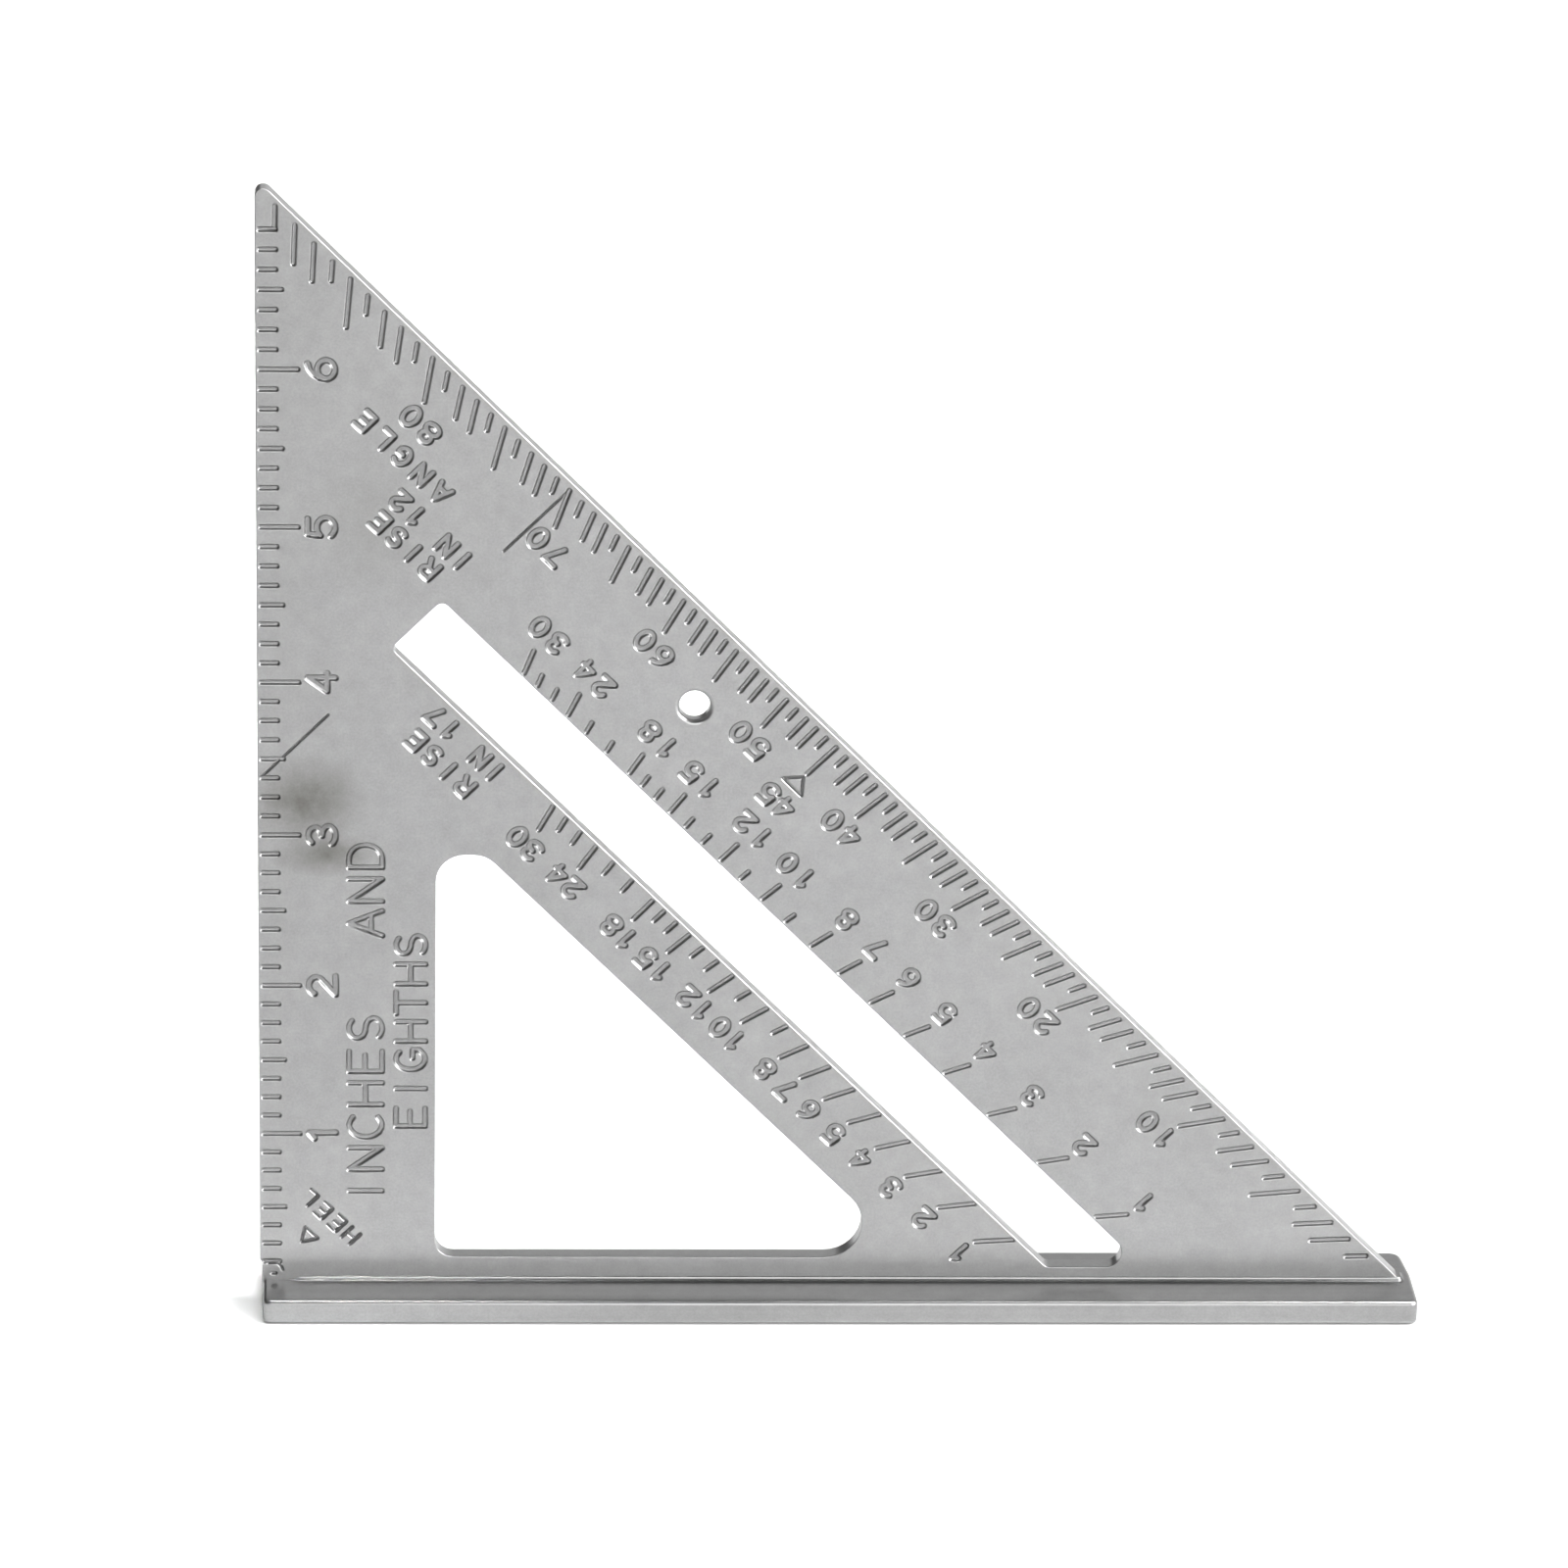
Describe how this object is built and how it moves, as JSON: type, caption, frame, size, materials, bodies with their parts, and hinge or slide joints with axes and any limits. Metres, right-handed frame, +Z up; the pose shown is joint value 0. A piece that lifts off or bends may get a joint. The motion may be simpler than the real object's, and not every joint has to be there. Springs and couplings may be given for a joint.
{
  "type": "speed square",
  "caption": "Rafter square: a 45 degree aluminium blade with stamped inch, degree and rafter scales, a scribing slot and a window, standing on a T-shaped fence.",
  "frame": {"origin": "middle of the fence's underside, halfway along the square's overall length", "axes": "+X along the fence away from the pivot corner, +Z up the ruler edge, and the marked face of the blade looks toward -Y"},
  "size_m": [0.1848, 0.0194, 0.1851],
  "materials": {
    "blade_alloy": "tumbled satin, lightly handled",
    "fence_alloy": "tumbled satin, rubbed along its edges"
  },
  "bodies": {
    "root": {"blade": "blade_alloy", "fence": "fence_alloy"}
  },
  "joints": []
}
